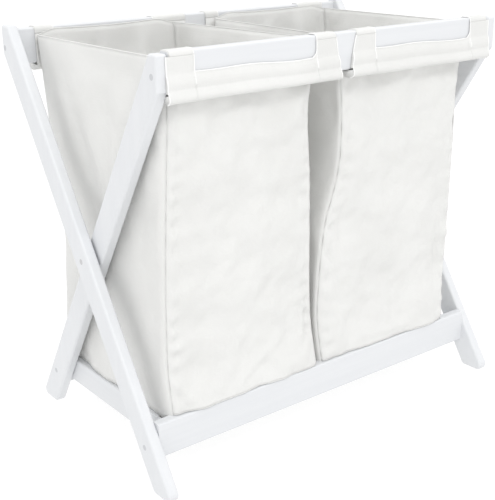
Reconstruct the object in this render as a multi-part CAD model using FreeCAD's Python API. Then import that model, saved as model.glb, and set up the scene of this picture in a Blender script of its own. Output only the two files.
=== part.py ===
import FreeCAD, Part
import math
import os
from FreeCAD import Vector

# Folding X-frame laundry sorter with two fabric bags. Units are millimetres.
# +X runs along the length, +Y to the back, +Z up. The origin is on the floor under the middle.

# ---- driving dimensions -------------------------------------------------------------------
frame_length = 700.0          # over the outer faces of the outer legs
board = 18.0                  # thickness of every board
leg_width = 42.5
leg_gap = 3.0                 # between an outer leg and the inner leg beside it
lean = math.radians(32.6)     # a leg's slope from the vertical
pivot_z = 313.0
outer_top_z = 646.0
inner_top_z = 638.0
front_cut_y = -202.0          # the inner legs' upright front faces
back_cut_y = 210.0            # the outer legs' upright back faces

rail_height = 55.0
top_rail_z = 585.0
front_rail_y = (-202.0, -184.0)
back_rail_y = (192.0, 210.0)
front_bottom_z = 48.0
back_bottom_z = 38.0          # level on top with the side bars
low_front_y = (-169.0, -151.0)
low_back_y = (159.0, 177.0)

bar_height = 43.0
bar_z = 50.0
bar_shoulder_y = 142.0        # where the bar's full height ends
bar_tongue_z = 71.5           # underside of the tongue that lies on the back bottom rail
lap_z = 71.0                  # top of the back bottom rail's lapped ends
bar_gap = 0.3                 # beside the inner leg

long_edge_round = 4.0
foot_round = 10.0
rail_round = 3.0
tip_round = 1.2

sheet = 3.3                   # thickness of the fabric sleeves round the top rails
bag_wall = 2.5
bag_floor_z = 95.0
bag_rim_z = 630.0
bag_front_z = 574.0           # the front panel ends below the front sleeve

# ---- worked-out places --------------------------------------------------------------------
outer_face_x = frame_length / 2
outer_inside_x = outer_face_x - board
inner_face_x = outer_inside_x - leg_gap
inner_inside_x = inner_face_x - board
bar_face_x = inner_inside_x - bar_gap
bar_inside_x = bar_face_x - board
half_span = leg_width / 2 / math.cos(lean)
bar_top_z = bar_z + bar_height
top_rail_top_z = top_rail_z + rail_height

os.makedirs("parts", exist_ok=True)


def box(x0, x1, y0, y1, z0, z1):
    """A box between two corners."""
    return Part.makeBox(x1 - x0, y1 - y0, z1 - z0, Vector(x0, y0, z0))


def rod(x0, x1, y, z, radius):
    """A round rod along X."""
    return Part.makeCylinder(radius, x1 - x0, Vector(x0, y, z), Vector(1, 0, 0))


def prism(points, x0, x1):
    """A side profile of (y, z) points, extruded along X."""
    wire = Part.makePolygon([Vector(x0, y, z) for y, z in points + points[:1]])
    return Part.Face(wire).extrude(Vector(x1 - x0, 0, 0))


def mirrored(shape):
    """The same shape on the other side of the middle."""
    return shape.mirror(Vector(0, 0, 0), Vector(1, 0, 0))


def fused(shapes):
    """One solid from shapes that overlap or touch."""
    return shapes[0].multiFuse(shapes[1:]).removeSplitter()


def save(name, shape):
    """Write one sub-part, after testing that it is sound."""
    assert shape.isValid() and shape.Volume > 0, name
    shape.exportStep("parts/" + name + ".step")


def edges_along(shape, axis, test=lambda middle: True):
    """The straight edges parallel to an axis whose middle passes the test."""
    found = []
    for edge in shape.Edges:
        if len(edge.Vertexes) != 2:
            continue
        span = edge.Vertexes[1].Point - edge.Vertexes[0].Point
        if abs(span.dot(axis)) > 0.999 * span.Length and test(edge.BoundBox.Center):
            found.append(edge)
    return found


# ---- legs ---------------------------------------------------------------------------------
def leg_middle_y(z, back_top):
    """Where a leg's middle line is at a height; back_top is +1 for the outer legs."""
    return back_top * (z - pivot_z) * math.tan(lean)


def leg(x0, x1, top_z, cut_y, back_top):
    """A sloping leg with a flat-cut foot, a flat top and an upright cut at the rail."""
    foot = leg_middle_y(0, back_top)
    top = leg_middle_y(top_z, back_top)
    cut_z = pivot_z + (abs(cut_y) - half_span) / math.tan(lean)
    outline = [
        (foot - half_span, 0),
        (foot + half_span, 0),
        (cut_y, cut_z) if back_top > 0 else (top + half_span, top_z),
        (cut_y, top_z),
        (top - half_span, top_z) if back_top > 0 else (cut_y, cut_z),
    ]
    solid = prism(outline, x0, x1)
    across = Vector(1, 0, 0)
    solid = solid.makeFillet(foot_round, edges_along(solid, across, lambda m: m.z < 1))
    solid = solid.makeFillet(long_edge_round, edges_along(solid, across, lambda m: m.z > top_z - 1))
    rim = [e for e in solid.Edges if abs(e.BoundBox.XLength) < 1e-6]
    return solid.makeFillet(long_edge_round, rim)


# ---- rails --------------------------------------------------------------------------------
def rail(half_length, y_range, z0, height):
    """A board on edge along X with rounded long edges."""
    solid = box(-half_length, half_length, y_range[0], y_range[1], z0, z0 + height)
    return solid.makeFillet(rail_round, edges_along(solid, Vector(1, 0, 0)))


# ---- fasteners ----------------------------------------------------------------------------
plug_radius = 4.4
plug_depth = 2.0
screw_head_radius = 4.0
screw_head_depth = 3.0
screw_radius = 2.5
screw_reach = 48.0            # from the leg's outer face into the rail's end
dowel_radius = 4.0
dowel_reach = 12.0            # into the leg, and twice that into the rail


def plug(face_x, y, z):
    """The cap over a screw, level with a left leg's outer face."""
    return rod(-face_x, -face_x + plug_depth, y, z, plug_radius)


def screw(face_x, y, z):
    """A sunk screw from a left leg's outer face into the end of a rail."""
    start = -face_x + plug_depth
    head = rod(start, start + screw_head_depth, y, z, screw_head_radius)
    return fused([head, rod(start, -face_x + screw_reach, y, z, screw_radius)])


def dowel(inside_x, y, z):
    """A wooden dowel across the joint between a left leg and a rail."""
    return rod(-inside_x - dowel_reach, -inside_x + 2 * dowel_reach, y, z, dowel_radius)


def both_sides(shapes):
    """The left shapes and their mirror images."""
    return shapes + [mirrored(s) for s in shapes]


outer_screw_at = [(201.0, 611.5), (-156.0, 67.0)]
outer_dowel_at = [(197.5, 595.5), (-160.0, 88.0)]
inner_screw_at = [(-190.0, 609.0), (165.0, 64.0)]
inner_dowel_at = [(-193.0, 594.0), (170.0, 48.0)]

outer_plugs = both_sides([plug(outer_face_x, y, z) for y, z in outer_screw_at])
outer_screws = both_sides([screw(outer_face_x, y, z) for y, z in outer_screw_at])
outer_dowels = both_sides([dowel(outer_inside_x, y, z) for y, z in outer_dowel_at])
inner_plugs = both_sides([plug(inner_face_x, y, z) for y, z in inner_screw_at])
inner_screws = both_sides([screw(inner_face_x, y, z) for y, z in inner_screw_at])
inner_dowels = both_sides([dowel(inner_inside_x, y, z) for y, z in inner_dowel_at])
outer_fasteners = outer_plugs + outer_screws + outer_dowels
inner_fasteners = inner_plugs + inner_screws + inner_dowels

# ---- pivot at the crossing of the legs ------------------------------------------------------
pivot_radius = 3.0
pivot_head_radius = 4.5
pivot_head_depth = 3.0
running_clearance = 0.06
washer_radius = 9.0
nut_radius = 7.0
nut_thickness = 3.9
nut_sink = 4.5                # depth of the nut's pocket in the inner leg

nut_x = -inner_inside_x - nut_sink + 0.3
pivot_head = rod(-outer_face_x, -outer_face_x + pivot_head_depth, 0, pivot_z, pivot_head_radius)
pivot_shank = rod(-outer_face_x, nut_x + nut_thickness, 0, pivot_z, pivot_radius)
pivot_bolt = fused([pivot_head, pivot_shank])
pivot_washer = rod(-outer_inside_x, -inner_face_x - 0.3, 0, pivot_z, washer_radius).cut(pivot_shank)
pivot_nut = rod(nut_x, nut_x + nut_thickness, 0, pivot_z, nut_radius).cut(pivot_shank)
pivot_hole = rod(-inner_face_x - 1, -inner_inside_x + 1, 0, pivot_z, pivot_radius + running_clearance)
nut_pocket = rod(nut_x - 0.3, -inner_inside_x + 1, 0, pivot_z, nut_radius + 0.4)

# ---- the two frames -------------------------------------------------------------------------
outer_leg = leg(-outer_face_x, -outer_inside_x, outer_top_z, back_cut_y, 1)
inner_leg = leg(-inner_face_x, -inner_inside_x, inner_top_z, front_cut_y, -1)
outer_leg = outer_leg.cut(outer_fasteners + [pivot_bolt])
inner_leg = inner_leg.cut(inner_fasteners + [pivot_hole, nut_pocket])

back_top_rail = rail(outer_inside_x, back_rail_y, top_rail_z, rail_height)
front_top_rail = rail(inner_inside_x, front_rail_y, top_rail_z, rail_height)
front_bottom_rail = rail(outer_inside_x, low_front_y, front_bottom_z, rail_height)
back_bottom_rail = rail(inner_inside_x, low_back_y, back_bottom_z, rail_height)
lap = box(-inner_inside_x - 1, -bar_inside_x + bar_gap, low_back_y[0] - 1, low_back_y[1] + 1,
          lap_z, back_bottom_z + rail_height + 1)
back_bottom_rail = back_bottom_rail.cut([lap, mirrored(lap)])

save("outer_leg_left", outer_leg)
save("outer_leg_right", mirrored(outer_leg))
save("inner_leg_left", inner_leg)
save("inner_leg_right", mirrored(inner_leg))
save("back_top_rail", back_top_rail.cut(outer_fasteners))
save("front_bottom_rail", front_bottom_rail.cut(outer_fasteners))
save("front_top_rail", front_top_rail.cut(inner_fasteners))
save("back_bottom_rail", back_bottom_rail.cut(inner_fasteners))
save("outer_frame_plugs", Part.makeCompound(outer_plugs))
save("outer_frame_screws", Part.makeCompound(outer_screws))
save("outer_frame_dowels", Part.makeCompound(outer_dowels))
save("inner_frame_plugs", Part.makeCompound(inner_plugs))
save("inner_frame_screws", Part.makeCompound(inner_screws))
save("inner_frame_dowels", Part.makeCompound(inner_dowels))
SIDES = (("left", lambda s: s), ("right", mirrored))
for side, turn in SIDES:
    save("pivot_bolt_" + side, turn(pivot_bolt))
    save("pivot_washer_" + side, turn(pivot_washer))
    save("pivot_nut_" + side, turn(pivot_nut))

# ---- side bars: hinged on the front bottom rail, lying on the back one's lapped ends ---------
knuckle_radius = 2.4
pin_radius = 1.2
leaf = 1.4
hinge_width = 14.0
hinge_drop = 26.0             # how far the fixed leaf goes down the rail
hinge_reach = 17.0            # how far the moving leaf goes along the bar
pin_y = low_front_y[1] + knuckle_radius + 0.4
pin_z = bar_top_z + knuckle_radius + 0.3
bar_front_y = low_front_y[1] + leaf + 0.4
hinge_x = -(bar_face_x + bar_inside_x) / 2
third = hinge_width / 3


def side_bar():
    """The left bar: a board whose tongue lies on the back bottom rail."""
    outline = [
        (bar_front_y, bar_z),
        (bar_shoulder_y, bar_z),
        (bar_shoulder_y, bar_tongue_z),
        (low_back_y[1], bar_tongue_z),
        (low_back_y[1], bar_top_z),
        (bar_front_y, bar_top_z),
    ]
    solid = prism(outline, -bar_face_x, -bar_inside_x)
    across = Vector(1, 0, 0)
    solid = solid.makeFillet(tip_round * 2, edges_along(solid, across, lambda m: m.y > low_back_y[1] - 1))
    solid = solid.makeFillet(tip_round, edges_along(solid, across, lambda m: m.z < bar_z + 1))
    long_edges = edges_along(solid, Vector(0, 1, 0), lambda m: abs(m.z - bar_z) < 1 or m.z > bar_top_z - 1)
    return solid.makeFillet(rail_round - 0.5, long_edges)


def knuckles(places):
    """Hinge knuckles over the given stretches of the pin."""
    return [rod(hinge_x + a, hinge_x + b, pin_y, pin_z, knuckle_radius) for a, b in places]


def hinge():
    """The fixed leaf, the moving leaf and the pin of the left bar's hinge."""
    half = hinge_width / 2
    inner = third / 2
    tab = inner - 0.25
    rail_face = low_front_y[1]
    fixed = knuckles([(-half, -inner), (inner, half)])
    fixed.append(box(hinge_x - half, hinge_x + half, rail_face, rail_face + leaf,
                     bar_top_z - hinge_drop, bar_top_z - 1.5))
    for a, b in ((-half, -inner), (inner, half)):
        fixed.append(box(hinge_x + a, hinge_x + b, rail_face, rail_face + leaf, bar_top_z - 2, pin_z))
    moving = knuckles([(-tab, tab)])
    top = bar_top_z + leaf
    moving.append(box(hinge_x - tab, hinge_x + tab, pin_y, pin_y + 5, bar_top_z, top))
    moving.append(box(hinge_x - half, hinge_x + half, pin_y + 3.2, pin_y + hinge_reach, bar_top_z, top))
    pin = rod(hinge_x - half, hinge_x + half, pin_y, pin_z, pin_radius)
    running_hole = rod(hinge_x - half, hinge_x + half, pin_y, pin_z, pin_radius + running_clearance)
    return fused(fixed).cut(pin), fused(moving).cut(running_hole), pin


bar = side_bar()
fixed_leaf, moving_leaf, hinge_pin = hinge()
for side, turn in SIDES:
    save("side_bar_" + side, turn(bar))
    save("bar_hinge_fixed_leaf_" + side, turn(fixed_leaf))
    save("bar_hinge_moving_leaf_" + side, turn(moving_leaf))
    save("bar_hinge_pin_" + side, turn(hinge_pin))

# ---- fabric sleeves round the top rails, each with a hand hole at the outside ----------------
front_sleeve_x = {"left": (-315.0, -24.0), "right": (6.0, 315.0)}
front_hole_x = {"left": (-272.0, -62.0), "right": (53.0, 265.0)}
back_sleeve_x = {"left": (-303.0, -18.0), "right": (25.0, 300.0)}
back_hole_x = {"left": (-270.0, -84.0), "right": (53.0, 240.0)}
hand_hole_z = 612.0
inside_lip_z = 629.0          # the sleeve's inside face stops here along the hand hole
tape = 2.4


def sleeve(x_range, hole_x, rail_y, outward):
    """Flat pieces of fabric round a top rail; outward is -1 at the front rail and +1 at the back."""
    x0, x1 = x_range
    low_x, high_x = max(x0, -inner_inside_x + 0.5), min(x1, inner_inside_x - 0.5)
    outer_y = sorted((rail_y[0] if outward < 0 else rail_y[1], rail_y[0] - sheet if outward < 0 else rail_y[1] + sheet))
    inner_y = sorted((rail_y[1] if outward < 0 else rail_y[0], rail_y[1] + sheet if outward < 0 else rail_y[0] - sheet))
    z0 = top_rail_z - sheet
    z1 = top_rail_top_z + sheet
    pieces = [box(x0, x1, outer_y[0], outer_y[1], z0, hand_hole_z)]
    for a, b, c, d in ((x0, hole_x[0], low_x, hole_x[0]), (hole_x[1], x1, hole_x[1], high_x)):
        pieces.append(box(a, b, outer_y[0], outer_y[1], hand_hole_z, top_rail_top_z))
        pieces.append(box(c, d, min(outer_y[0], inner_y[0]), max(outer_y[1], inner_y[1]), top_rail_top_z, z1))
        pieces.append(box(c, d, inner_y[0], inner_y[1], inside_lip_z, top_rail_top_z))
    pieces.append(box(low_x, high_x, inner_y[0], inner_y[1], z0, inside_lip_z))
    pieces.append(box(low_x, high_x, rail_y[0], rail_y[1], z0, top_rail_z))
    return Part.makeCompound(pieces)


def closing_tape(x_range, rail_y):
    """The hook-and-loop tape that closes a sleeve under its rail."""
    z1 = top_rail_z - sheet
    return box(x_range[0] + 6, x_range[1] - 6, rail_y[0], rail_y[1], z1 - tape, z1)


for side in ("left", "right"):
    save("front_sleeve_" + side, sleeve(front_sleeve_x[side], front_hole_x[side], front_rail_y, -1))
    save("front_tape_" + side, closing_tape(front_sleeve_x[side], front_rail_y))
    save("back_sleeve_" + side, sleeve(back_sleeve_x[side], back_hole_x[side], back_rail_y, 1))
    save("back_tape_" + side, closing_tape(back_sleeve_x[side], back_rail_y))

# ---- the two bags, open at the top -----------------------------------------------------------
bag_top_y = (-180.2, back_rail_y[0] - sheet)
bag_floor_y = (-143.0, 170.0)
bag_top_x = {"left": (-304.0, -38.0), "right": (14.0, 302.0)}
bag_floor_x = {"left": (-304.0, -25.5), "right": (-24.5, 302.0)}


def solid_of(faces):
    """A flat-faced solid from lists of corner points."""
    made = [Part.Face(Part.makePolygon(corners + corners[:1])) for corners in faces]
    solid = Part.makeSolid(Part.makeShell(made))
    return solid if solid.Volume > 0 else solid.reversed()


def block(low, high):
    """A flat-faced block between a lower and an upper four-cornered outline."""
    faces = [list(reversed(low)), high]
    for i in range(4):
        j = (i + 1) % 4
        faces.append([low[i], low[j], high[j], high[i]])
    return solid_of(faces)


def between(a, b, share):
    """A value some share of the way from a to b."""
    return a + (b - a) * share


def bag(side):
    """A hanging bag as five flat panels."""
    (x0, x1), (u0, u1) = bag_floor_x[side], bag_top_x[side]
    (y0, y1), (v0, v1) = bag_floor_y, bag_top_y
    w = bag_wall
    z0, z1 = bag_floor_z, bag_rim_z

    def quad(share, z, corners):
        """Corners given as (x end, x inset, y end, y inset), at a height."""
        points = []
        for ex, dx, ey, dy in corners:
            x = between(x1, u1, share) - dx if ex else between(x0, u0, share) + dx
            y = between(y1, v1, share) - dy if ey else between(y0, v0, share) + dy
            points.append(Vector(x, y, z))
        return points

    def panel(corners, top_share, top_z):
        return block(quad(0, z0, corners), quad(top_share, top_z, corners))

    front_share = (bag_front_z - z0) / (z1 - z0)
    front = panel([(0, 0, 0, 0), (1, 0, 0, 0), (1, w, 0, w), (0, w, 0, w)], front_share, bag_front_z)
    back = panel([(0, w, 1, w), (1, w, 1, w), (1, 0, 1, 0), (0, 0, 1, 0)], 1, z1)
    left = panel([(0, 0, 0, 0), (0, w, 0, w), (0, w, 1, w), (0, 0, 1, 0)], 1, z1)
    right = panel([(1, w, 0, w), (1, 0, 0, 0), (1, 0, 1, 0), (1, w, 1, w)], 1, z1)
    inside = [(0, w, 0, w), (1, w, 0, w), (1, w, 1, w), (0, w, 1, w)]
    floor_share = w / (z1 - z0)
    floor = block(quad(0, z0, inside), quad(floor_share, z0 + w, inside))
    return Part.makeCompound([front, back, left, right, floor])


for side in ("left", "right"):
    save("bag_" + side, bag(side))
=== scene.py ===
import math

import bpy
import numpy as np
from mathutils import Matrix, Vector, noise


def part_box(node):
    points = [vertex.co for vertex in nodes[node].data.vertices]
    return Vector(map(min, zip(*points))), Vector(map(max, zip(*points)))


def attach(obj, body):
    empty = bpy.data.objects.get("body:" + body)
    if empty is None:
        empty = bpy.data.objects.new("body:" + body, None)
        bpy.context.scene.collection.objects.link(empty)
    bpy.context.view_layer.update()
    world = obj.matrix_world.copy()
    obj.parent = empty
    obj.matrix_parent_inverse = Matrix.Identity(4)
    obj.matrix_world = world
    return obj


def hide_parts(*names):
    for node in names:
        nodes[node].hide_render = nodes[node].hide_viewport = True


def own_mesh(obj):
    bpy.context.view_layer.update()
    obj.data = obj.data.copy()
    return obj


# A folding laundry sorter: two canvas bags hung in an X-frame of painted boards. Points and
# lengths below are in millimetres unless they say metres; piece() turns them into metres.
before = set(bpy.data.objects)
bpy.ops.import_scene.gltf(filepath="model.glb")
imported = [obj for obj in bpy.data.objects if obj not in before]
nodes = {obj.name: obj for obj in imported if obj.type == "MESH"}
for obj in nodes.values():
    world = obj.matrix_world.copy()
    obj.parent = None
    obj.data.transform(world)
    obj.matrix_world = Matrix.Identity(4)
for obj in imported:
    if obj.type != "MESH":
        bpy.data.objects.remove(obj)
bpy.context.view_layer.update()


RAIL_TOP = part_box("front_top_rail")[1].z * 1000


# ---- materials ------------------------------------------------------------------------------
def material(name, color, roughness, **extra):
    """A new principled material with its node tree."""
    m = bpy.data.materials.new(name)
    m.use_nodes = True
    shader = m.node_tree.nodes["Principled BSDF"]
    shader.inputs["Base Color"].default_value = (*color, 1)
    shader.inputs["Roughness"].default_value = roughness
    for key, value in extra.items():
        shader.inputs[key.replace("_", " ")].default_value = value
    return m, m.node_tree, shader


def add(tree, kind, **values):
    """A shader node with some of its inputs set."""
    node = tree.nodes.new(kind)
    for key, value in values.items():
        node.inputs[key].default_value = value
    return node


def scaled_place(tree, scale):
    """Object coordinates stretched along each axis."""
    coords = tree.nodes.new("ShaderNodeTexCoord")
    mapping = add(tree, "ShaderNodeMapping", Scale=scale)
    tree.links.new(coords.outputs["Object"], mapping.inputs["Vector"])
    return mapping.outputs["Vector"]


def bump(tree, shader, height, strength, distance, under=None):
    """A bump from a height output, on top of another if given."""
    node = add(tree, "ShaderNodeBump", Strength=strength, Distance=distance)
    tree.links.new(height, node.inputs["Height"])
    if under is not None:
        tree.links.new(under, node.inputs["Normal"])
    tree.links.new(node.outputs["Normal"], shader.inputs["Normal"])
    return node.outputs["Normal"]


def tint(tree, shader, factor, low, high):
    """The base colour runs between two colours with a factor."""
    ramp = tree.nodes.new("ShaderNodeValToRGB")
    ramp.color_ramp.elements[0].position = 0.3
    ramp.color_ramp.elements[1].position = 0.7
    ramp.color_ramp.elements[0].color = (*low, 1)
    ramp.color_ramp.elements[1].color = (*high, 1)
    tree.links.new(factor, ramp.inputs["Fac"])
    tree.links.new(ramp.outputs["Color"], shader.inputs["Base Color"])


def painted_wood(name, stretch):
    """White satin paint with the grain just showing along one direction."""
    m, tree, shader = material(name, (0.70, 0.712, 0.73), 0.42,
                               Coat_Weight=0.12, Coat_Roughness=0.3)
    grain = add(tree, "ShaderNodeTexNoise", Scale=1.0, Detail=4.0, Roughness=0.6)
    tree.links.new(scaled_place(tree, stretch), grain.inputs["Vector"])
    tint(tree, shader, grain.outputs["Fac"], (0.69, 0.703, 0.722), (0.72, 0.731, 0.747))
    first = bump(tree, shader, grain.outputs["Fac"], 0.10, 0.0006)
    peel = add(tree, "ShaderNodeTexNoise", Scale=420.0, Detail=2.0)
    tree.links.new(scaled_place(tree, (1, 1, 1)), peel.inputs["Vector"])
    bump(tree, shader, peel.outputs["Fac"], 0.05, 0.0003, first)
    return m


def cloth(name, low, high, weave, shine=0.15, through=0.0):
    """Plain-woven cotton with soft clouding; weave is threads per metre."""
    m, tree, shader = material(name, high, 0.88, Sheen_Weight=shine, Sheen_Roughness=0.5)
    cloud = add(tree, "ShaderNodeTexNoise", Scale=9.0, Detail=3.0, Roughness=0.55)
    tree.links.new(scaled_place(tree, (1, 1, 0.7)), cloud.inputs["Vector"])
    tint(tree, shader, cloud.outputs["Fac"], low, high)
    place = scaled_place(tree, (1, 1, 1))
    threads = []
    for direction in ("X", "Z"):
        wave = tree.nodes.new("ShaderNodeTexWave")
        wave.bands_direction = direction
        wave.inputs["Scale"].default_value = weave / 20 * math.pi / 3
        wave.inputs["Distortion"].default_value = 1.2
        wave.inputs["Detail Scale"].default_value = 3.0
        tree.links.new(place, wave.inputs["Vector"])
        threads.append(wave.outputs["Fac"])
    both = tree.nodes.new("ShaderNodeMath")
    both.operation = "MAXIMUM"
    tree.links.new(threads[0], both.inputs[0])
    tree.links.new(threads[1], both.inputs[1])
    first = bump(tree, shader, both.outputs["Value"], 0.18, 0.0004)
    crumple = add(tree, "ShaderNodeTexNoise", Scale=38.0, Detail=3.0, Roughness=0.5)
    tree.links.new(place, crumple.inputs["Vector"])
    normal = bump(tree, shader, crumple.outputs["Fac"], 0.35, 0.005, first)
    if through:
        glow = add(tree, "ShaderNodeBsdfTranslucent", Color=(0.95, 0.95, 0.93, 1))
        tree.links.new(normal, glow.inputs["Normal"])
        mix = add(tree, "ShaderNodeMixShader", Fac=through)
        tree.links.new(shader.outputs["BSDF"], mix.inputs[1])
        tree.links.new(glow.outputs["BSDF"], mix.inputs[2])
        tree.links.new(mix.outputs["Shader"], tree.nodes["Material Output"].inputs["Surface"])
    return m


def fine_grained(name, color, roughness, stretch, scale, detail, relief=None, tints=None,
                 **extra):
    """A plain material whose fine noise gives it either relief or two tints."""
    m, tree, shader = material(name, color, roughness, **extra)
    grain = add(tree, "ShaderNodeTexNoise", Scale=scale, Detail=detail)
    tree.links.new(scaled_place(tree, stretch), grain.inputs["Vector"])
    if relief:
        bump(tree, shader, grain.outputs["Fac"], *relief)
    if tints:
        tint(tree, shader, grain.outputs["Fac"], *tints)
    return m


WOOD_ALONG_X = painted_wood("painted_wood_long", (3, 120, 120))
WOOD_UP = painted_wood("painted_wood_upright", (120, 60, 8))
WOOD_ALONG_Y = painted_wood("painted_wood_deep", (120, 3, 120))
CANVAS = cloth("canvas", (0.81, 0.81, 0.795), (0.85, 0.85, 0.836), 1400, through=0.18)
BINDING = cloth("binding", (0.87, 0.87, 0.86), (0.9, 0.9, 0.89), 2200)
# Painted shade: the tapes are dark grey to stand in for the shade under the top rails; sleeve()
# hides them again.
TAPE_PAINTED_SHADE = cloth("hook_tape", (0.23, 0.23, 0.24), (0.3, 0.3, 0.31), 1200, 0.3)
STEEL = fine_grained("steel", (0.56, 0.56, 0.57), 0.34, (60, 1500, 1500), 1.0, 3.0,
                     relief=(0.12, 0.0002), Metallic=1.0)
PLUG = fine_grained("plug", (0.55, 0.56, 0.58), 0.55, (1, 1, 1), 900.0, 2.0,
                    relief=(0.1, 0.0002))
DOWEL = fine_grained("dowel_wood", (0.55, 0.4, 0.24), 0.7, (20, 700, 700), 1.0, 4.0,
                     tints=((0.48, 0.33, 0.19), (0.62, 0.46, 0.29)))

# The first word found in a node's name decides its material; the rest are steel.
USES = [("leg", WOOD_UP), ("rail", WOOD_ALONG_X), ("side_bar", WOOD_ALONG_Y), ("plugs", PLUG),
        ("washer", PLUG), ("dowels", DOWEL), ("tape", TAPE_PAINTED_SHADE), ("sleeve", CANVAS), ("bag", CANVAS)]
for name, node in nodes.items():
    node.data.materials.clear()
    node.data.materials.append(next((m for word, m in USES if word in name), STEEL))


# ---- mesh helpers; every point is in millimetres --------------------------------------------
def piece(name, points, faces, mat, body, thick=0.0):
    """A mesh that rides on a CAD body."""
    mesh = bpy.data.meshes.new(name)
    mesh.from_pydata([tuple(p) for p in np.asarray(points) / 1000.0], [], faces)
    mesh.polygons.foreach_set("use_smooth", [True] * len(mesh.polygons))
    mesh.materials.append(mat)
    mesh.update()
    obj = bpy.data.objects.new(name, mesh)
    bpy.context.scene.collection.objects.link(obj)
    if thick:
        mod = obj.modifiers.new("thickness", "SOLIDIFY")
        mod.thickness = thick / 1000.0
        mod.offset = 0.0
    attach(obj, body)
    return obj


def grid_faces(rows, cols, start=0):
    """Quads of a rows x cols grid of points."""
    faces = []
    for i in range(rows - 1):
        for j in range(cols - 1):
            a = start + i * cols + j
            faces.append((a, a + 1, a + cols + 1, a + cols))
    return faces


def joined(grids):
    """Points and faces of several grids in one mesh."""
    points, faces = [], []
    for g in grids:
        rows, cols = g.shape[:2]
        faces += grid_faces(rows, cols, len(points))
        points += list(g.reshape(-1, 3))
    return points, faces


def cord_points(paths, radius, sides=8):
    """Round cords along open lines, as one mesh's points and faces."""
    points, faces = [], []
    for line in paths:
        line = np.asarray(line, float)
        along = np.gradient(line, axis=0)
        along /= np.linalg.norm(along, axis=1)[:, None] + 1e-9
        ref = np.array([0.31, 0.42, 0.85])
        start = len(points)
        for p, t in zip(line, along):
            a = np.cross(t, ref)
            a /= np.linalg.norm(a) + 1e-9
            b = np.cross(t, a)
            for k in range(sides):
                w = 2 * math.pi * k / sides
                points.append(p + radius * (a * math.cos(w) + b * math.sin(w)))
        n = len(line)
        for i in range(n - 1):
            for k in range(sides):
                m = (k + 1) % sides
                faces.append((start + i * sides + k, start + i * sides + m,
                              start + (i + 1) * sides + m, start + (i + 1) * sides + k))
        faces.append(tuple(start + k for k in reversed(range(sides))))
        faces.append(tuple(start + (n - 1) * sides + k for k in range(sides)))
    return points, faces


def curve_at(controls, z):
    """A smooth value at z through (z, value) controls."""
    zs = np.array([c[0] for c in controls], float)
    vs = np.array([c[1] for c in controls], float)
    slopes = np.gradient(vs, zs)
    k = np.clip(np.searchsorted(zs, z) - 1, 0, len(zs) - 2)
    h = zs[k + 1] - zs[k]
    t = np.clip((z - zs[k]) / h, 0, 1)
    start = (2 * t**3 - 3 * t**2 + 1) * vs[k] + (t**3 - 2 * t**2 + t) * h * slopes[k]
    return start + (3 * t**2 - 2 * t**3) * vs[k + 1] + (t**3 - t**2) * h * slopes[k + 1]


def wobble(points, size, seed):
    """Smooth noise from -1 to 1 at each point, with features of a size."""
    flat = points.reshape(-1, 3)
    shift = Vector((seed * 13.7, seed * 5.1, seed * 9.3))
    values = [noise.noise(Vector(p) / size + shift) for p in flat]
    return np.array(values).reshape(points.shape[:-1])


def rounded(across, width, r_a, r_b):
    """How far points near each end of a panel move along it and inwards, to round its corners."""
    along, inward = np.zeros_like(across), np.zeros_like(across)
    for r, gap, sign in ((r_a, across, 1), (r_b, width - across, -1)):
        k = 0.293 * r
        place = k + gap * (1 - k / r)
        near = gap < r
        along += np.where(near, sign * (place - gap), 0)
        inward += np.where(near, r - np.sqrt(np.maximum(r * r - (r - place) ** 2, 0)), 0)
    return along, inward


def crease(a, b, s0, t0, s1, t1, width, depth):
    """A ridge or a hollow along a line on a panel; everything in millimetres."""
    dx, dy = s1 - s0, t1 - t0
    length = math.hypot(dx, dy)
    along = ((a - s0) * dx + (b - t0) * dy) / length
    across = ((a - s0) * dy - (b - t0) * dx) / length
    fade = np.clip(along / length * 4, 0, 1) * np.clip((1 - along / length) * 4, 0, 1)
    return depth * fade * np.exp(-((across / width) ** 2))


# ---- the bags ---------------------------------------------------------------------------------
FLOOR, RIM = 95.6, 629.0      # heights of a bag's bottom and of its rim at the sides
HEM = 104.6                   # the front panel's hem lies on the front bottom rail
SEAM = 15.0                   # from a front corner to the seam beside it
FRONT_WIDTH, FRONT_COLS, FRONT_ROWS = 280, 104, 150
OUTER_CORNER, INNER_CORNER = 18, 10
BAG_CLOTH, SLEEVE_CLOTH = 0.9, 1.0
PIPING_RADIUS, RIM_RADIUS, BINDING_RADIUS = 0.45, 1.0, 0.9


def smooth_step(t):
    """From 0 to 1 with level ends."""
    return t * t * (3 - 2 * t)


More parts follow.
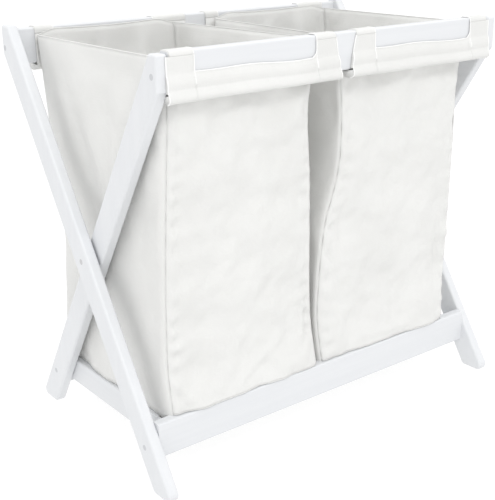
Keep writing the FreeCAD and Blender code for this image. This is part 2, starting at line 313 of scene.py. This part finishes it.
def bag_panel(line_a, line_b, outward, bulge, puckers, creases, seed, ends, cols=44, rows=72,
              low_z=FLOOR, rough=(5.0, 4.0, 1.2)):
    """A panel hung between two corners, each a function from height to a point.

    Ends are the corners' radii, and rough is how deep its wide, middling and fine wrinkles are.
    """
    z = low_z + (RIM - low_z) * np.linspace(0, 1, rows)
    a = np.array([line_a(v) for v in z])
    b = np.array([line_b(v) for v in z])
    s = np.linspace(0, 1, cols)
    grid = a[:, None] * (1 - s)[None, :, None] + b[:, None] * s[None, :, None]
    width = np.linalg.norm(b - a, axis=1)[:, None]
    across = s[None] * width
    up = (z - FLOOR)[:, None] * np.ones_like(across)
    from_edge = np.minimum(across, width - across)
    inner = smooth_step(np.clip(from_edge / 26, 0, 1))
    low = np.clip(up / 22, 0, 1)
    high = np.clip((RIM - FLOOR - up) / 30, 0, 1)

    move = bulge(s[None], up / (RIM - FLOOR)) * np.ones_like(across)
    fold = grid * np.array([1, 1, 0.85])
    wide, middling, fine = rough
    wrinkles = wide * wobble(fold, 105, seed) + middling * wobble(fold, 47, seed + 1)
    move = move + inner * wrinkles * high
    move = move + inner * fine * wobble(grid, 21, seed + 2) * high
    if puckers:
        near = np.exp(-np.abs(from_edge - SEAM) / 9)
        ripple = np.sin(up / 5.2 + 2.5 * np.sin(up / 37 + seed))
        ripple = ripple * (0.5 + 0.5 * np.sin(up / 61 + seed) ** 2)
        rim_free = np.clip((RIM - FLOOR - up) / 60, 0, 1)
        groove = 0.4 * np.exp(-((from_edge - SEAM) / 2.6) ** 2)
        move = move + puckers * near * ripple * low * rim_free - groove * low
    for line in creases:
        move = move + 1.7 * crease(across, up, *line)

    along, inward = rounded(across, width * np.ones_like(across), *ends)
    turn = ((b - a) / width)[:, None]
    return grid + turn * along[..., None] + (move - inward)[..., None] * np.array(outward, float)


def corner(xs, ys):
    """A corner seam from x and y controls over the height."""
    return lambda z: np.array([curve_at(xs, z), curve_at(ys, z), z])


# Controls are (z, x) or (z, y); f and b are a bag's front and back, l and r its sides.
FRONT_Y = [(95, -164), (120, -161), (160, -155), (250, -155), (400, -164.5), (574, -179.3),
           (600, -180), (630, -180)]
BACK_Y = [(95, 175), (180, 164), (245, 157), (309, 151), (357, 160), (480, 172), (600, 184),
          (630, 187)]
BACK_Y_IN = [(95, 168), (300, 172), (500, 181), (630, 187)]
SEAMS = {
    "left": {
        "fl": corner([(95, -304.5), (300, -303.5), (574, -303), (630, -304)], FRONT_Y),
        "fr": corner([(95, -17), (155, -20), (230, -25), (300, -28), (418, -36), (560, -48),
                      (600, -40), (630, -20)], FRONT_Y),
        "br": corner([(95, -30), (630, -45)], BACK_Y_IN),
        "bl": corner([(95, -304), (300, -302), (630, -304)], BACK_Y),
    },
    "right": {
        "fl": corner([(95, -10), (152, -13), (279, -9), (353, -1), (395, 11), (430, 17),
                      (500, 15), (574, 8), (630, 13)], FRONT_Y),
        "fr": corner([(95, 287), (130, 293), (207, 300), (293, 300), (414, 293), (574, 284),
                      (610, 292), (630, 300)], FRONT_Y),
        "br": corner([(95, 300), (300, 298), (630, 302)], BACK_Y),
        "bl": corner([(95, -18), (630, 40)], BACK_Y_IN),
    },
}


def front_bulge(s, t):
    """The front panel swells a little, most of all low down."""
    side = np.clip(np.minimum(s, 1 - s) / 0.16, 0, 1)
    belly = 2.0 * np.clip(1 - t / 0.16, 0, 1) ** 1.5
    return side * (2.0 + belly + 3.0 * np.sin(math.pi * s)) * np.clip((0.9 - t) / 0.1, 0, 1)


def back_bulge(s, t):
    """The back panel hangs a little inside its corners."""
    return 0 * s * t - 1.0


def side_bulge(s, t):
    """An outer side panel hangs slack, a little inwards."""
    return -5.0 * np.sin(math.pi * s) * np.sin(math.pi * np.clip(t, 0, 1))


def slack(s, t):
    """The panels between the two bags."""
    return 1.5 * np.sin(math.pi * s) * np.sin(math.pi * t)


# A crease is (across, up, across, up, width, depth): from one point to another.
FRONT_FOLDS = {
    "left": [(8, 60, 40, 15, 5, 1.8), (262, 210, 276, 60, 7, -2.2), (268, 150, 250, 40, 5, 1.6),
             (240, 470, 190, 380, 10, 1.6), (14, 440, 60, 330, 9, 1.5), (225, 90, 120, 20, 8, 1.8),
             (250, 120, 272, 95, 4, -1.8), (245, 75, 272, 60, 4, 1.6), (30, 250, 20, 120, 8, -1.4)],
    "right": [(262, 210, 285, 90, 6, -2.4), (285, 200, 300, 110, 4, 1.6),
              (20, 300, 30, 180, 7, 1.6), (40, 450, 110, 330, 11, 1.5),
              (240, 460, 190, 360, 10, -1.4), (60, 30, 220, 22, 7, 1.6),
              (270, 420, 262, 300, 6, -1.6), (12, 200, 40, 120, 5, -1.5)],
}
BACK_PLEATS = [(60, 530, 110, 300, 9, -3.0), (70, 530, 40, 330, 8, -2.4),
               (215, 530, 170, 320, 9, -3.0), (225, 530, 250, 360, 8, -2.4),
               (140, 530, 150, 420, 8, -2.0)]
LEFT_FOLDS = [(60, 500, 150, 300, 16, -2.6), (250, 480, 170, 260, 14, 2.4)]
RIGHT_FOLDS = [(60, 500, 150, 300, 16, -2.6)]


def raise_back_rim(back):
    """Between its corners the back rim is drawn up towards the top of the rail."""
    share = np.linspace(0, 1, back.shape[1])
    near = np.clip(np.minimum(share, 1 - share) / 0.14, 0, 1)
    lift = (9.5 - 4.0 * np.sin(math.pi * share)) * smooth_step(near)
    back[..., 2] += lift[None] * np.clip((back[..., 2] - 540) / (RIM - 540), 0, 1) ** 2


def bag_floor(front, back, rows=24, cols=40):
    """The bottom panel, which steps up on to the front bottom rail."""
    s = np.linspace(0, 1, cols)

    def resampled(edge):
        return np.stack([np.interp(s, np.linspace(0, 1, len(edge)), edge[:, k])
                         for k in range(3)], -1)

    r = np.linspace(0, 1, rows)[:, None, None]
    floor = resampled(front[0])[None] * (1 - r) + resampled(back[0, ::-1])[None] * r
    floor[..., 2] = HEM - (HEM - FLOOR) * smooth_step(np.clip((floor[..., 1] + 149) / 12, 0, 1))
    return floor


def bag(side, seed):
    """One hanging bag: four panels and a floor, with corded seams and a hemmed rim."""
    c = SEAMS[side]
    on_left = side == "left"
    corner_l, corner_r = (OUTER_CORNER, INNER_CORNER) if on_left else (INNER_CORNER, OUTER_CORNER)
    front = bag_panel(c["fl"], c["fr"], (0, -1, 0.08), front_bulge, 3.4, FRONT_FOLDS[side], seed,
                      (corner_l, corner_r), FRONT_COLS, FRONT_ROWS, HEM, (9.0, 7.5, 2.6))
    back = bag_panel(c["br"], c["bl"], (0, 1, 0), back_bulge, 0, BACK_PLEATS, seed + 3,
                     (INNER_CORNER, INNER_CORNER))
    raise_back_rim(back)
    left = bag_panel(c["bl"], c["fl"], (-1, 0, 0), side_bulge if on_left else slack, 0,
                     LEFT_FOLDS, seed + 6, (INNER_CORNER, corner_l))
    right = bag_panel(c["fr"], c["br"], (1, 0, 0), slack if on_left else side_bulge, 0,
                      RIGHT_FOLDS, seed + 9, (corner_r, INNER_CORNER))
    panels = [front, back, left, right, bag_floor(front, back)]
    points, faces = joined(panels)
    cloth_piece = piece("bag_" + side + "_cloth", points, faces, CANVAS, "outer_frame",
                        BAG_CLOTH)
    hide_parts("bag_" + side)

    column = round(SEAM / FRONT_WIDTH * (FRONT_COLS - 1))
    cords = [front[:, column], front[:, -1 - column], front[0] + np.array([0, -0.5, 0.1]),
             back[:, 0], back[:, -1], left[0], right[0]]
    points, faces = cord_points(cords, PIPING_RADIUS)
    piping = piece("bag_" + side + "_piping", points, faces, CANVAS, "outer_frame")
    points, faces = cord_points([left[-1], right[-1], back[-1]], RIM_RADIUS)
    hem = piece("bag_" + side + "_rim_hem", points, faces, CANVAS, "outer_frame")

    for obj in (cloth_piece, piping, hem):
        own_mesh(obj)


# ---- the sleeves round the top rails -----------------------------------------------------------
# How far the cloth stands off the rail, from the hand hole (1) down to the fold (0).
PROFILE = [(1.6, 1.0), (2.8, 0.9), (4.6, 0.77), (5.4, 0.64), (5.0, 0.52), (4.7, 0.44),
           (6.4, 0.33), (8.3, 0.2), (8.0, 0.08), (4.4, 0.0)]
SLEEVE_LOW_Z = 574.6          # the fold under the rail
HAND_HOLE_Z = 612             # the lower edge of the hand holes
JOIN_Z = RAIL_TOP - 6         # where the strap over the rail takes over
CAP_Z = RAIL_TOP - 54         # below this a sleeve's ends are closed by one face
FLARE_REACH = 24
RAILS = {                     # by facing: the rail, its body and the height of the inner lip
    -1: ("front_top_rail", "inner_frame", 629),
    1: ("back_top_rail", "outer_frame", 630),
}


def smooth_line(points, count):
    """More points along a smooth line through some."""
    points = np.asarray(points, float)
    k = np.arange(len(points))
    fine = np.linspace(0, len(points) - 1, count)
    return np.stack([[curve_at(list(zip(k, points[:, i])), v) for v in fine]
                     for i in range(points.shape[1])], -1)


def sleeve(name, facing, x0, x1, hole, low_x, high_x, seed, flare=(0, 0)):
    """Cloth round a rail with a hand hole; facing is -1 at the front rail and +1 at the back.

    It runs from x0 to x1, and from low_x to high_x where it lies against the rail; flare is how
    far its ends draw in at the top.
    """
    rail, body, lip_z = RAILS[facing]
    low, high = (corner_point.y * 1000 for corner_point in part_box(rail))
    face_y, back_y = (low, high) if facing < 0 else (high, low)
    h0, h1 = hole

    def roll_top(x):
        """Where the roll below the hand hole ends."""
        dip = 4.0 * math.exp(-(((x - (h0 + (h1 - h0) * 0.85)) / 45) ** 2))
        return HAND_HOLE_Z - dip + 0.5 * math.sin(x / 17)

    def z_top(x):
        """The hand hole's lower edge, with round corners."""
        level = roll_top(x)
        radius = 11.0 if facing < 0 else 5.0
        for end, sign, r in ((h1, 1, radius), (h0, -1, 3.0)):
            far = (x - end) * sign + r
            if far > 0:
                level += r - math.sqrt(max(r * r - far * far, 0))
        return level

    def section(x, top):
        """Points down the outside, under the rail and up the inside."""
        swell = 1.0 + 0.22 * noise.noise(Vector((x / 60, seed, 0.5)))
        sag = 1.5 * noise.noise(Vector((x / 90, seed, 3.5)))
        roll = roll_top(x)
        fold_z = SLEEVE_LOW_Z + sag
        line = [(face_y + facing * off * swell, fold_z + (roll - SLEEVE_LOW_Z - sag) * h)
                for off, h in PROFILE]
        if top - roll > 1:
            flat_y = face_y + facing * 1.4
            line = [(flat_y, top), (flat_y, (2 * top + roll) / 3)] + line
        line += [(face_y - facing * 3, SLEEVE_LOW_Z - 1.6 + sag),
                 (face_y - facing * 10, SLEEVE_LOW_Z - 0.6 + sag),
                 (back_y + facing * 1, SLEEVE_LOW_Z + 0.8),
                 (back_y - facing * 2.2, SLEEVE_LOW_Z + 5),
                 (back_y - facing * 2.6, SLEEVE_LOW_Z + 22),
                 (back_y - facing * 2.2, lip_z)]
        return smooth_line([(x, y, z) for y, z in line], 46)

    def strap_section(x):
        """Points over the top of the rail."""
        line = [(face_y + facing * 1.5, JOIN_Z),
                (face_y + facing * 1.2, RAIL_TOP - 3),
                (face_y - facing * 0.5, RAIL_TOP - 0.1),
                (face_y - facing * 3.6, RAIL_TOP + 1.1),
                ((face_y + back_y) / 2, RAIL_TOP + 1.2),
                (back_y + facing * 5, RAIL_TOP + 1.2),
                (back_y + facing * 1.6, RAIL_TOP + 0.6),
                (back_y - facing * 1.0, RAIL_TOP - 2.5),
                (back_y - facing * 1.4, lip_z)]
        lift = 0.3 * noise.noise(Vector((x / 14, seed, 7.5)))
        return smooth_line([(x, y, z + (lift if z > RAIL_TOP else 0)) for y, z in line], 26)

    def flared(grid):
        """The strap ends draw in towards the top of the rail."""
        rise = np.clip((grid[..., 2] - SLEEVE_LOW_Z) / (RAIL_TOP - SLEEVE_LOW_Z), 0, 1) ** 1.5
        near_a = np.clip(1 - (grid[..., 0] - x0) / FLARE_REACH, 0, 1)
        near_b = np.clip(1 - (x1 - grid[..., 0]) / FLARE_REACH, 0, 1)
        grid[..., 0] += rise * (flare[0] * near_a - flare[1] * near_b)
        return grid

    def wrapped(a, b, cut):
        """The cloth from a to b, up to the hand hole or to where the strap takes over."""
        count = max(8, int((b - a) / 2.2))
        share = np.linspace(0, 1, count)
        if cut:
            share = 0.5 - 0.5 * np.cos(np.linspace(0, math.pi, count))
        grid = np.array([section(x, z_top(x) if cut else JOIN_Z) for x in a + (b - a) * share])
        against = (grid[..., 1] - face_y) * facing < 0.5
        grid[..., 0] = np.where(against, np.clip(grid[..., 0], low_x, high_x), grid[..., 0])
        return flared(grid)

    def strap(a, b):
        """The cloth over the rail from a to b."""
        count = max(8, int((b - a) / 2.2))
        grid = np.array([strap_section(x) for x in a + (b - a) * np.linspace(0, 1, count)])
        grid[..., 0] = np.clip(grid[..., 0], low_x, high_x)
        return flared(grid)

    first, over_a = wrapped(x0, h0, False), strap(x0, h0)
    middle = wrapped(h0, h1, True)
    last, over_b = wrapped(h1, x1, False), strap(h1, x1)
    grids = [first, over_a, middle, last, over_b]
    points, faces = joined(grids)

    def cap(outline):
        """Close an open end with one face."""
        start = len(points)
        points.extend(outline)
        faces.append(tuple(range(start, start + len(outline))))

    for end in (first[0], last[-1]):
        proud = np.array([p for p in end if (p[1] - face_y) * facing > 0.1 and p[2] >= CAP_Z])
        flat = proud.copy()
        flat[:, 1] = face_y + facing * 0.1
        faces += grid_faces(2, len(proud), len(points))
        points += list(proud) + list(flat)
        cap([p for p in end if p[2] < CAP_Z])
    for end in (over_a[0], over_b[-1]):
        cap([p for p in end if p[2] > RAIL_TOP - 4])
    cloth_piece = piece(name + "_cloth", points, faces, CANVAS, body, SLEEVE_CLOTH)
    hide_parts(name, name.replace("sleeve", "tape"))

    def proud_of(line, off):
        """An edge moved off the rail's face."""
        return line + np.array([0, facing * off, 0])

    edges = [proud_of(middle[:, 0], 0.6), middle[:, -1], proud_of(first[0, :32], 0.4),
             proud_of(last[-1, :32], 0.4), over_a[-1], over_b[0],
             proud_of(first[-1, :16], 0.5), proud_of(last[0, :16], 0.5)]
    points, faces = cord_points(edges, BINDING_RADIUS)
    trim = piece(name + "_binding", points, faces, BINDING, body)


bag("left", 3)
bag("right", 11)
sleeve("front_sleeve_left", -1, -315, -18, (-272, -62), -310, -18, 2, (0, 8))
sleeve("front_sleeve_right", -1, 4, 309, (53, 265), 4, 304, 5, (12, 0))
sleeve("back_sleeve_left", 1, -303, -18, (-270, -84), -303, -18, 8)
sleeve("back_sleeve_right", 1, 25, 300, (53, 240), 25, 300, 9)

# ---- stage, light and camera -------------------------------------------------------------------
bpy.ops.mesh.primitive_plane_add(size=30, location=(0, 0, -0.0004))
floor = bpy.context.object
floor.name = "studio_floor"
floor_mat, _, floor_shader = material("studio_floor", (0.2, 0.2, 0.2), 1.0)
floor_shader.inputs["Emission Color"].default_value = (1, 1, 1, 1)
floor_shader.inputs["Emission Strength"].default_value = 0.84
floor.data.materials.append(floor_mat)

world = bpy.data.worlds.new("studio")
bpy.context.scene.world = world
world.use_nodes = True
world.node_tree.nodes["Background"].inputs["Color"].default_value = (1, 1, 1, 1)
sky = world.node_tree.nodes["Background"].inputs["Strength"]
place = world.node_tree.nodes.new("ShaderNodeTexCoord")
height = world.node_tree.nodes.new("ShaderNodeSeparateXYZ")
brighter = world.node_tree.nodes.new("ShaderNodeMapRange")
brighter.inputs["To Min"].default_value = 0.76
brighter.inputs["To Max"].default_value = 1.5
world.node_tree.links.new(place.outputs["Generated"], height.inputs["Vector"])
world.node_tree.links.new(height.outputs["Z"], brighter.inputs["Value"])
world.node_tree.links.new(brighter.outputs["Result"], sky)

KEY_AT, KEY_AIM = Vector((-1.1, -2.8, 3.1)), Vector((0, 0, 0.3))     # metres
lamp = bpy.data.lights.new("key", "AREA")
lamp.shape = "SQUARE"
lamp.size = 0.8
lamp.energy = 30
key = bpy.data.objects.new("key", lamp)
key.location = KEY_AT
key.rotation_euler = (KEY_AIM - KEY_AT).to_track_quat("-Z", "Y").to_euler()
bpy.context.scene.collection.objects.link(key)

CAMERA_AT = (-0.97870, -1.23694, 0.80123)     # metres
AZ, EL, ROLL = math.radians(-37.33), math.radians(19.14), math.radians(-0.97)
LENS, SENSOR = 69.52, 36.0
back = Vector((math.sin(AZ) * math.cos(EL), -math.cos(AZ) * math.cos(EL), math.sin(EL)))
level_right = Vector((0, 0, 1)).cross(back).normalized()
level_up = back.cross(level_right)
right = level_right * math.cos(ROLL) + level_up * math.sin(ROLL)
up = level_up * math.cos(ROLL) - level_right * math.sin(ROLL)
data = bpy.data.cameras.new("camera")
data.lens = LENS
data.sensor_width = SENSOR
data.clip_end = 60
camera = bpy.data.objects.new("camera", data)
bpy.context.scene.collection.objects.link(camera)
camera.matrix_world = Matrix((*((right[k], up[k], back[k], CAMERA_AT[k]) for k in range(3)),
                              (0, 0, 0, 1)))
bpy.context.scene.camera = camera
bpy.context.scene.view_settings.view_transform = "Standard"
